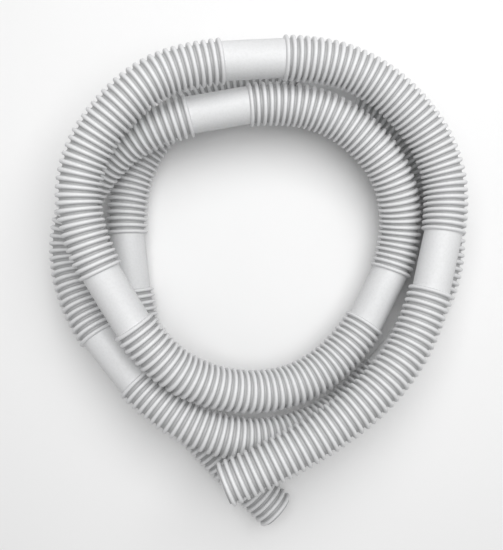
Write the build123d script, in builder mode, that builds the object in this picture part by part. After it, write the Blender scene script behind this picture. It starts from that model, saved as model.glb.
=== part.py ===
"""A cuffed vacuum hose for pools and spas, lying as a loose coil of three turns.

The hose is one continuous moulding: ten corrugated lengths with a smooth, rigid cuff between
each pair. It is built as its moulded lengths, each a hollow solid that meets the next one face
to face. Both cut ends are free, so each has a short stretch of hose that bends when it moves.
Millimetres, +Z up, the floor at Z = 0 and the origin below the middle of the coil.
"""

import os
from math import pi, radians, tan

from build123d import *

# Driving dimensions
bore_diameter = 38.0
wall = 1.2
cuff_wall = 1.8
ridge_height = 4.4
ridge_width = 4.0
ridge_pitch = 7.8
end_ridges = 3
cuff_length = 63.5

# The share of the shorter run that an arc takes up on each side of its bend
arc_share = 0.45

# Worked out from them
valley_diameter = bore_diameter + 2 * wall
cuff_diameter = bore_diameter + 2 * cuff_wall
crest_diameter = valley_diameter + 2 * ridge_height
end_length = end_ridges * ridge_pitch
lay = crest_diameter / 2

# The bends of the centre line, from the end underneath to the end on top, one row for each
# corrugated length. A cuff lies in the middle of the run that joins one row to the next.
route_rows = [
    [(23, -266, lay), (-31, -214, lay), (-85, -157, lay), (-125, -97, lay), (-146, -38, lay)],
    [(-161, 103, lay), (-129, 179, lay), (-66, 234, lay), (17, 252, lay)],
    [(151, 213, lay), (206, 150, lay), (228, 68, lay), (212, -17, lay)],
    [(126, -126, 30), (50, -168, 54), (-33, -171, 74), (-116, -130, 79)],
    [(-205, -26, 60), (-225, 66, 46), (-184, 144, 66), (-115, 191, 81)],
    [(23, 218, 72), (101, 197, 64), (161, 135, 54), (171, 47, 36)],
    [(112, -65, 46), (39, -115, 64), (-49, -112, 88), (-118, -69, 108)],
    [(-189, 52, 119), (-194, 135, 125), (-140, 209, 129), (-77, 245, 119)],
    [(62, 257, 103), (133, 233, 95), (193, 174, 86), (216, 100, 80)],
    [(184, -35, 88), (137, -104, 102), (71, -153, 112), (3, -188, 120), (-38, -205, 124)],
]
route = [Vector(*point) for row in route_rows for point in row]
cuff_count = len(route_rows) - 1
bends_per_row = 4
cuff_runs = [bends_per_row * (number + 1) for number in range(cuff_count)]
last_run = len(route) - 2

# The bend in each free end that the end turns about
lower_pivot = 2
upper_pivot = last_run - 2


def direction(run):
    """The way that a run points, from its first point to its second."""
    return (route[run + 1] - route[run]).normalized()


def point_on(run, past_middle=0.0):
    """The point of a run that is this far past its middle."""
    return (route[run] + route[run + 1]) / 2 + direction(run) * past_middle


def free_length(run):
    """The length of a run that may bend, which leaves out its rigid cuff."""
    length = (route[run + 1] - route[run]).length
    return length - cuff_length if run in cuff_runs else length


def bend_radius(corner):
    """The largest arc that the two runs at a bend allow."""
    turn = direction(corner - 1).get_angle(direction(corner))
    shorter = min(free_length(corner - 1), free_length(corner))
    return arc_share * shorter / tan(radians(turn / 2))


def centre_line(start, corners, finish):
    """The line of one stretch: its two ends, with an arc at each bend between them."""
    points = [start] + [route[corner] for corner in corners] + [finish]
    with BuildLine() as line:
        if corners:
            FilletPolyline(*points, radius=[bend_radius(corner) for corner in corners])
        else:
            Line(*points)
    return line.wire()


def plain_stretch(diameter, path):
    """A stretch of hose as a hollow tube over its ridges, or over its smooth cuff."""
    with BuildPart() as tube:
        with BuildSketch(Plane(path @ 0, z_dir=path % 0)):
            Circle(diameter / 2)
            Circle(bore_diameter / 2, mode=Mode.SUBTRACT)
        sweep(path=path)
    section = pi / 4 * (diameter**2 - bore_diameter**2)
    print(f"  volume is {tube.part.volume / (section * path.length):.4f} of section times length")
    return tube.part


def cut_end(path):
    """The last ridges of a free end, round the bore that a fitting goes into."""
    along = path % 0
    side = along.cross(Vector(0, 0, 1)).normalized()
    middle_of_wall = (bore_diameter + wall) / 2
    crown_radius = ridge_width / 2
    crown_centre = crest_diameter / 2 - crown_radius
    flank_height = ridge_height - crown_radius
    with BuildPart() as end:
        with BuildSketch(Plane(path @ 0, x_dir=side, z_dir=side.cross(along))):
            with Locations((middle_of_wall, end_length / 2)):
                Rectangle(wall, end_length)
            for ridge in range(end_ridges):
                place = (ridge + 0.5) * ridge_pitch
                with Locations((crown_centre - flank_height / 2, place)):
                    Rectangle(flank_height, ridge_width)
                with Locations((crown_centre, place)):
                    Circle(crown_radius)
        revolve(axis=Axis(path @ 0, along))
    return end.part


# Where one moulded length ends and the next starts: a run and a point on it
half_cuff = cuff_length / 2
cuts = [
    (0, route[0]),
    (0, route[0] + direction(0) * end_length),
    (lower_pivot - 1, point_on(lower_pivot - 1)),
    (lower_pivot, point_on(lower_pivot)),
]
for run in cuff_runs:
    cuts += [(run, point_on(run, -half_cuff)), (run, point_on(run, half_cuff))]
cuts += [
    (upper_pivot - 1, point_on(upper_pivot - 1)),
    (upper_pivot, point_on(upper_pivot)),
    (last_run, route[-1] - direction(last_run) * end_length),
    (last_run, route[-1]),
]

names = ["lower_end", "lower_tail", "lower_bend", "corrugated_01"]
for number in range(1, cuff_count + 1):
    names += [f"cuff_{number:02d}", f"corrugated_{number + 1:02d}"]
names += ["upper_bend", "upper_tail", "upper_end"]

os.makedirs("parts", exist_ok=True)
print("bend radii:", [round(bend_radius(corner)) for corner in range(1, last_run + 1)])
total = 0.0
for name, (first_run, start), (final_run, finish) in zip(names, cuts, cuts[1:]):
    line = centre_line(start, range(first_run + 1, final_run + 1), finish)
    total += line.length
    print(f"{name}: {line.length:.1f} mm")
    if name in ("lower_end", "upper_end"):
        stretch = cut_end(line)
    else:
        stretch = plain_stretch(cuff_diameter if name.startswith("cuff") else crest_diameter, line)
    stretch.label = name
    export_step(stretch, f"parts/{name}.step")
print(f"hose length along its centre line: {total:.0f} mm")
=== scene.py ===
"""A ridged vacuum hose with smooth cuffs, lying on the floor in a loose coil of three turns.

The hose is one moulding, so one smooth line runs through all of it. It is shown as ten pieces,
each of them a stretch of ridges with the cuff that ends it, and every piece is a hollow wall.
Everything is in metres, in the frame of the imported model.
"""

from math import cos, pi, radians, sin, tan

import bpy
import numpy as np
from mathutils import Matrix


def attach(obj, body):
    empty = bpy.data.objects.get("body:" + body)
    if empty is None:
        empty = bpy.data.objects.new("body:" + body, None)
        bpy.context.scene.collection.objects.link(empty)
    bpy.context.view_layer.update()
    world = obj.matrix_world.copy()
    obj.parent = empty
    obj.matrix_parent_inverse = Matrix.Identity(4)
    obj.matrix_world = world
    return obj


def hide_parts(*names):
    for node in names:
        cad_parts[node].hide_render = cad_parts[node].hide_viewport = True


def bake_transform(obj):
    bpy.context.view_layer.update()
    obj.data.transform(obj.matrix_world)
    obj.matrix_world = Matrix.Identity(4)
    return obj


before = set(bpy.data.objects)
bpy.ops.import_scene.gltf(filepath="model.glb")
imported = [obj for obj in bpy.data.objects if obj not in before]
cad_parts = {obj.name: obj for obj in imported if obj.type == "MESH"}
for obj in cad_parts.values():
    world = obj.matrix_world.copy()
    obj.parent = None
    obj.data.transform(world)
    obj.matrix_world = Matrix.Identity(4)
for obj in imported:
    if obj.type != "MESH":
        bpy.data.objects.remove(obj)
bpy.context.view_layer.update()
scene = bpy.context.scene

# The hose's own sizes
bore_radius = 0.0190
wall = 0.0012
cuff_wall = 0.0018
ridge_height = 0.0044
crown_radius = 0.0020
foot_radius = 0.0014
flank_lean = radians(10)
cuff_length = 0.0635
ridges_per_length = 42

# How much of the painted shade between the ridges lies on a cuff and the ridge beside it, darkening them
# a little
cuff_darkening = 0.58

# How far the ridges stray along the hose, and how much they fall short of their height
place_scatter = 0.00008
height_scatter = 0.012

# How finely the wall is drawn: points round it, and along a ridge's foot, its crown and a cuff
segments = 56
foot_points = 4
crown_points = 5
cuff_steps = 13

# Worked out from them
valley_radius = bore_radius + wall
cuff_radius = bore_radius + cuff_wall
crest_radius = valley_radius + ridge_height
lay = crest_radius

# The bends of the centre line, from the end underneath to the end on top, one row for each
# ridged length. A cuff lies in the middle of the run that joins one row to the next.
route_rows = [
    [(0.023, -0.266, lay), (-0.031, -0.214, lay), (-0.085, -0.157, lay), (-0.125, -0.097, lay),
     (-0.146, -0.038, lay)],
    [(-0.163, 0.104, lay), (-0.133, 0.183, lay), (-0.069, 0.238, lay), (0.017, 0.253, lay)],
    [(0.151, 0.213, lay), (0.206, 0.150, lay), (0.228, 0.068, lay), (0.212, -0.017, lay)],
    [(0.126, -0.126, 0.030), (0.050, -0.168, 0.054), (-0.033, -0.171, 0.074), (-0.116, -0.130, 0.079)],
    [(-0.205, -0.026, 0.060), (-0.225, 0.066, 0.046), (-0.184, 0.144, 0.068), (-0.115, 0.191, 0.083)],
    [(0.023, 0.218, 0.072), (0.101, 0.197, 0.064), (0.161, 0.135, 0.054), (0.171, 0.047, 0.036)],
    [(0.112, -0.065, 0.046), (0.039, -0.115, 0.064), (-0.049, -0.112, 0.088), (-0.118, -0.069, 0.108)],
    [(-0.189, 0.052, 0.119), (-0.194, 0.135, 0.125), (-0.140, 0.209, 0.129), (-0.077, 0.245, 0.119)],
    [(0.062, 0.257, 0.103), (0.133, 0.233, 0.095), (0.193, 0.174, 0.086), (0.216, 0.100, 0.080)],
    [(0.184, -0.035, 0.088), (0.137, -0.104, 0.102), (0.071, -0.153, 0.112), (0.003, -0.188, 0.120),
     (-0.038, -0.205, 0.124)],
]

# The camera hangs straight above the middle of the coil
camera_over = (-0.008, 0.018)
camera_height = 0.870
camera_lens = 46.08
camera_sensor = 36.0


def make_camera():
    """The camera, looking straight down with +Y at the top of the picture."""
    data = bpy.data.cameras.new("camera")
    data.lens = camera_lens
    data.sensor_width = camera_sensor
    data.clip_start = 0.01
    camera = bpy.data.objects.new("camera", data)
    camera.location = (*camera_over, camera_height)
    scene.collection.objects.link(camera)
    scene.camera = camera


def smooth_line(points, steps=48):
    """Points close together along the NURBS spline that has these control points."""
    curve = bpy.data.curves.new("route", "CURVE")
    curve.dimensions = "3D"
    spline = curve.splines.new("NURBS")
    spline.points.add(len(points) - 1)
    for control, point in zip(spline.points, points):
        control.co = (*point, 1.0)
    spline.order_u = 3
    spline.use_endpoint_u = True
    spline.resolution_u = steps
    holder = bpy.data.objects.new("route", curve)
    scene.collection.objects.link(holder)
    bpy.context.view_layer.update()
    mesh = bpy.data.meshes.new_from_object(holder)
    line = np.array([vertex.co for vertex in mesh.vertices])
    bpy.data.objects.remove(holder)
    return line


def middle_of(first, second):
    """The point halfway between two points."""
    return (np.array(first) + np.array(second)) / 2


def distances_along(line):
    """How far along the line each of its points is."""
    steps = np.linalg.norm(np.diff(line, axis=0), axis=1)
    return np.concatenate(([0.0], np.cumsum(steps)))


def read_off(values, places):
    """What the values along the line are at these distances along it."""
    return np.stack([np.interp(places, distances, values[:, axis]) for axis in range(3)], axis=-1)


def straighten_cuffs():
    """The line that the wall stands round: a cuff is rigid, so it is straight from end to end."""
    centres = line.copy()
    for place in cuff_places:
        first, last = read_off(line, [place - cuff_length / 2, place + cuff_length / 2])
        share = (distances - place) / cuff_length + 0.5
        within = (share > 0.0) & (share < 1.0)
        centres[within] = first + share[within, None] * (last - first)
    return centres


def directions_along():
    """The line's direction at each point, and a side direction that never twists about it."""
    ahead = np.gradient(line, axis=0)
    ahead /= np.linalg.norm(ahead, axis=1)[:, None]
    side = np.cross(ahead[0], (0.0, 0.0, 1.0))
    sides = []
    for direction in ahead:
        side = side - direction * (side @ direction)
        side /= np.linalg.norm(side)
        sides.append(side)
    return ahead, np.array(sides)


def ridge_outline(height):
    """Half a ridge from its foot to its crest: how far before the crest, and how high.

    A round foot runs into a leaning flank, and the flank into a round crown.
    """
    flank_rise = height - (crown_radius + foot_radius) * (1 - sin(flank_lean))
    foot_before = (crown_radius + foot_radius) * cos(flank_lean) + flank_rise * tan(flank_lean)
    foot_turns = np.linspace(0.0, pi / 2 - flank_lean, foot_points)
    crown_turns = np.linspace(pi / 2 - flank_lean, 0.0, crown_points)
    before = [*(foot_before - foot_radius * np.sin(foot_turns)), *(crown_radius * np.sin(crown_turns))]
    rise = [
        *(foot_radius - foot_radius * np.cos(foot_turns)),
        *(height - crown_radius + crown_radius * np.cos(crown_turns)),
    ]
    return np.array(before), np.array(rise)


def groove_outline(height):
    """The same for the groove that the ridge leaves inside the wall.

    It is plainer: one point rounds its foot, and one point rounds its crown.
    """
    half = crown_radius - wall / 2
    top = height - wall
    foot_before, foot_rise = 0.3 * foot_radius, 0.35 * foot_radius
    crown_before, crown_drop = 0.6 * half, 0.6 * wall
    before = np.array([half + foot_radius, half + foot_before, half, crown_before, 0.0])
    rise = np.array([0.0, foot_rise, foot_radius, top - crown_drop, top])
    return before, rise


def wall_rows(stretch, count, outline, valley, plain, seed):
    """The rows of points along one length: how far along each is, its radius and its painted shade.

    The ridges stand up from the valley radius, and the cuff after them has the plain radius,
    which the ridge beside a cuff runs into. Painted shade fills the grooves between the ridges,
    where it is 1, and a cuff and the ridge beside it get a little of it.
    """
    start, ridges_end, cuff_end = stretch
    random = np.random.default_rng(seed)
    pitch = (ridges_end - start) / count
    rows = [(start, valley, 1.0)]
    for number in range(count):
        crest = start + (number + 0.5) * pitch + random.normal(0.0, place_scatter)
        before, rise = outline(ridge_height * (1 - abs(random.normal(0.0, height_scatter))))
        # Painted shade: strongest at the ridge's foot, none at its crest
        painted_shade = 1 - rise / rise[-1]
        rows += zip(crest - before, valley + rise, painted_shade)
        rows += zip(crest + before[-2::-1], valley + rise[-2::-1], painted_shade[-2::-1])
    rows.append((ridges_end, valley, 1.0))
    if cuff_end > ridges_end:
        cuff_places_along = np.linspace(ridges_end, cuff_end, cuff_steps + 1)[1:]
        rows += [(place, plain, 1.0) for place in cuff_places_along]
    along, radius, painted_shade = np.array(rows).T
    after_cuff = (along < start + pitch / 2) & (start > 0.0)
    before_cuff = (along > ridges_end - pitch / 2) & (cuff_end > ridges_end)
    beside_cuff = after_cuff | before_cuff
    radius[beside_cuff] = np.maximum(radius[beside_cuff], plain)
    # The cuff and the ridge beside it get a little of the painted shade
    painted_shade[beside_cuff] = cuff_darkening
    return np.stack((along, radius, painted_shade))


def ring_points(along, radius):
    """A ring of points at each row, and where they would be if the hose were straight."""
    centre = read_off(centres, along)
    ahead = read_off(aheads, along)
    side = read_off(sides, along)
    ahead /= np.linalg.norm(ahead, axis=1)[:, None]
    side -= ahead * np.sum(side * ahead, axis=1)[:, None]
    side /= np.linalg.norm(side, axis=1)[:, None]
    up = np.cross(ahead, side)
    turn = np.linspace(0.0, 2 * pi, segments, endpoint=False)
    across = np.cos(turn)[:, None] * side[:, None] + np.sin(turn)[:, None] * up[:, None]
    points = centre[:, None] + radius[:, None, None] * across
    straight = np.empty_like(points)
    straight[..., 0] = radius[:, None] * np.cos(turn)
    straight[..., 1] = radius[:, None] * np.sin(turn)
    straight[..., 2] = along[:, None]
    return points.reshape(-1, 3), straight.reshape(-1, 3)


def ring_faces(rows):
    """The four-sided faces between the rings, with the last ring joined back to the first."""
    row, column = np.meshgrid(np.arange(rows), np.arange(segments), indexing="ij")
    next_row = (row + 1) % rows
    next_column = (column + 1) % segments
    corners = [(row, column), (row, next_column), (next_row, next_column), (next_row, column)]
    faces = np.stack([corner_row * segments + corner for corner_row, corner in corners], axis=-1)
    return faces.reshape(-1, 4)


def hose_piece(name, stretch, count, seed):
    """One length of the hose: the outside of its wall, the inside, and the two cut faces."""
    outer = wall_rows(stretch, count, ridge_outline, valley_radius, cuff_radius, seed)
    inner = wall_rows(stretch, count, groove_outline, bore_radius, bore_radius, seed)
    along, radius, painted_shade = np.concatenate((outer, inner[:, ::-1]), axis=1)
    points, straight = ring_points(along, radius)
    mesh = bpy.data.meshes.new(name)
    mesh.from_pydata(points.tolist(), [], ring_faces(len(along)).tolist())
    mesh.shade_smooth()
    mesh.set_sharp_from_angle(angle=radians(50))
    mesh.attributes.new("straight", "FLOAT_VECTOR", "POINT").data.foreach_set("vector", straight.ravel())
    # The painted shade of the grooves, which the material darkens the colour by
    mesh.attributes.new("painted_shade", "FLOAT", "POINT").data.foreach_set("value", np.repeat(painted_shade, segments))
    piece = bpy.data.objects.new(name, mesh)
    scene.collection.objects.link(piece)
    return piece


make_camera()
line = smooth_line([point for row in route_rows for point in row])
distances = distances_along(line)
cuff_middles = [middle_of(row[-1], next_row[0]) for row, next_row in zip(route_rows, route_rows[1:])]
cuff_places = [distances[np.argmin(np.linalg.norm(line - middle, axis=1))] for middle in cuff_middles]
centres = straighten_cuffs()
aheads, sides = directions_along()

# Where each length starts, where its ridges end and where its cuff ends
hose_length = distances[-1]
starts = [0.0] + [place + cuff_length / 2 for place in cuff_places]
ridge_ends = [place - cuff_length / 2 for place in cuff_places] + [hose_length]
ends = starts[1:] + [hose_length]

pieces = []
for number, stretch in enumerate(zip(starts, ridge_ends, ends), 1):
    is_last = number == len(route_rows)
    piece = hose_piece(f"hose_length_{number:02d}", stretch, ridges_per_length - is_last, number)
    nodes = [f"corrugated_{number:02d}"]
    if number == 1:
        nodes += ["lower_end", "lower_tail", "lower_bend"]
    nodes += ["upper_bend", "upper_tail", "upper_end"] if is_last else [f"cuff_{number:02d}"]
    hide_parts(*nodes)
    pieces.append(piece)

# The first and last lengths bend where their free ends turn, and the others stay in the coil
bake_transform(pieces[0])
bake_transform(pieces[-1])
for piece in pieces[1:-1]:
    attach(piece, "coil")


def add_noise(tree, vector, scale, detail, roughness=0.5):
    """A noise texture on these coordinates."""
    noise = tree.nodes.new("ShaderNodeTexNoise")
    noise.inputs["Scale"].default_value = scale
    noise.inputs["Detail"].default_value = detail
    noise.inputs["Roughness"].default_value = roughness
    tree.links.new(vector, noise.inputs["Vector"])
    return noise.outputs["Fac"]


def add_range(tree, value, old, new):
    """A value spread from its old range over a new one."""
    spread = tree.nodes.new("ShaderNodeMapRange")
    spread.interpolation_type = "SMOOTHSTEP"
    spread.inputs["From Min"].default_value, spread.inputs["From Max"].default_value = old
    spread.inputs["To Min"].default_value, spread.inputs["To Max"].default_value = new
    tree.links.new(value, spread.inputs["Value"])
    return spread.outputs["Result"]


def add_mix(tree, factor, first, second, blend="MIX"):
    """Two colours mixed by a factor. The second is fixed, and the first may be another node's."""
    mix = tree.nodes.new("ShaderNodeMix")
    mix.data_type = "RGBA"
    mix.blend_type = blend
    tree.links.new(factor, mix.inputs["Factor"])
    if isinstance(first, tuple):
        mix.inputs["A"].default_value = (*first, 1.0)
    else:
        tree.links.new(first, mix.inputs["A"])
    mix.inputs["B"].default_value = (*second, 1.0)
    return mix.outputs["Result"]


def add_bump(tree, height, strength, distance, normal=None):
    """A bump from a height, on top of another bump if there is one."""
    bump = tree.nodes.new("ShaderNodeBump")
    bump.inputs["Strength"].default_value = strength
    bump.inputs["Distance"].default_value = distance
    tree.links.new(height, bump.inputs["Height"])
    if normal:
        tree.links.new(normal, bump.inputs["Normal"])
    return bump.outputs["Normal"]


def read_attribute(tree, name):
    """The node that reads one of the mesh's own attributes."""
    attribute = tree.nodes.new("ShaderNodeAttribute")
    attribute.attribute_name = name
    return attribute


def hose_material():
    """Pale grey moulded plastic, satin, with faint mottling and painted shade between the ridges."""
    material = bpy.data.materials.new("moulded_plastic")
    material.use_nodes = True
    tree = material.node_tree
    shader = tree.nodes["Principled BSDF"]
    shader.inputs["IOR"].default_value = 1.5
    place = read_attribute(tree, "straight").outputs["Vector"]
    painted_shade = read_attribute(tree, "painted_shade").outputs["Fac"]
    drawn_out = tree.nodes.new("ShaderNodeMapping")
    drawn_out.inputs["Scale"].default_value = (1.0, 1.0, 0.3)
    tree.links.new(place, drawn_out.inputs["Vector"])

    cloud = add_noise(tree, drawn_out.outputs["Vector"], scale=55.0, detail=3.0)
    mottle = add_noise(tree, place, scale=420.0, detail=4.0, roughness=0.65)
    grain = add_noise(tree, place, scale=2200.0, detail=2.0)

    clean = add_mix(tree, cloud, (0.66, 0.664, 0.67), (0.75, 0.754, 0.76))
    spots = add_range(tree, mottle, old=(0.38, 0.70), new=(0.0, 0.6))
    mottled = add_mix(tree, spots, clean, (0.92, 0.92, 0.915), blend="MULTIPLY")
    # Painted shade: the grooves between the ridges are darkened, and the cuffs a little
    shade_amount = add_range(tree, painted_shade, old=(0.45, 1.0), new=(0.0, 1.0))
    shaded_colour = add_mix(tree, shade_amount, mottled, (0.56, 0.56, 0.56), blend="MULTIPLY")
    tree.links.new(shaded_colour, shader.inputs["Base Color"])
    satin = add_range(tree, mottle, old=(0.3, 0.7), new=(0.46, 0.60))
    tree.links.new(satin, shader.inputs["Roughness"])

    waviness = add_bump(tree, mottle, strength=0.25, distance=0.0004)
    roughened = add_bump(tree, grain, strength=0.2, distance=0.0001, normal=waviness)
    tree.links.new(roughened, shader.inputs["Normal"])
    return material


plastic = hose_material()
for piece in pieces:
    piece.data.materials.append(plastic)


def floor_material():
    """A plain pale floor, matte, with the least unevenness."""
    material = bpy.data.materials.new("floor")
    material.use_nodes = True
    tree = material.node_tree
    shader = tree.nodes["Principled BSDF"]
    shader.inputs["Roughness"].default_value = 0.9
    place = tree.nodes.new("ShaderNodeTexCoord")
    tint = add_noise(tree, place.outputs["Object"], scale=3.0, detail=2.0)
    colour = add_mix(tree, tint, (0.80, 0.80, 0.80), (0.84, 0.84, 0.84))
    tree.links.new(colour, shader.inputs["Base Color"])
    return material


def make_floor(half=6.0):
    """The floor that the hose lies on."""
    mesh = bpy.data.meshes.new("floor")
    corners = [(-half, -half, 0), (half, -half, 0), (half, half, 0), (-half, half, 0)]
    mesh.from_pydata(corners, [], [(0, 1, 2, 3)])
    mesh.materials.append(floor_material())
    floor = bpy.data.objects.new("floor", mesh)
    scene.collection.objects.link(floor)


def add_light(name, place, size, power):
    """A soft square light that looks at the coil."""
    data = bpy.data.lights.new(name, "AREA")
    data.size = size
    data.energy = power
    light = bpy.data.objects.new(name, data)
    light.location = place
    light.rotation_euler = (-light.location).to_track_quat("-Z", "Y").to_euler()
    scene.collection.objects.link(light)


def make_studio(strength):
    """Even, soft light from all round."""
    world = bpy.data.worlds.new("studio")
    world.use_nodes = True
    background = world.node_tree.nodes["Background"]
    background.inputs["Color"].default_value = (1.0, 1.0, 1.0, 1.0)
    background.inputs["Strength"].default_value = strength
    scene.world = world
    scene.view_settings.view_transform = "Standard"


make_floor()
add_light("key", place=(0.16, 0.42, 1.40), size=1.4, power=22.5)
make_studio(strength=0.38)
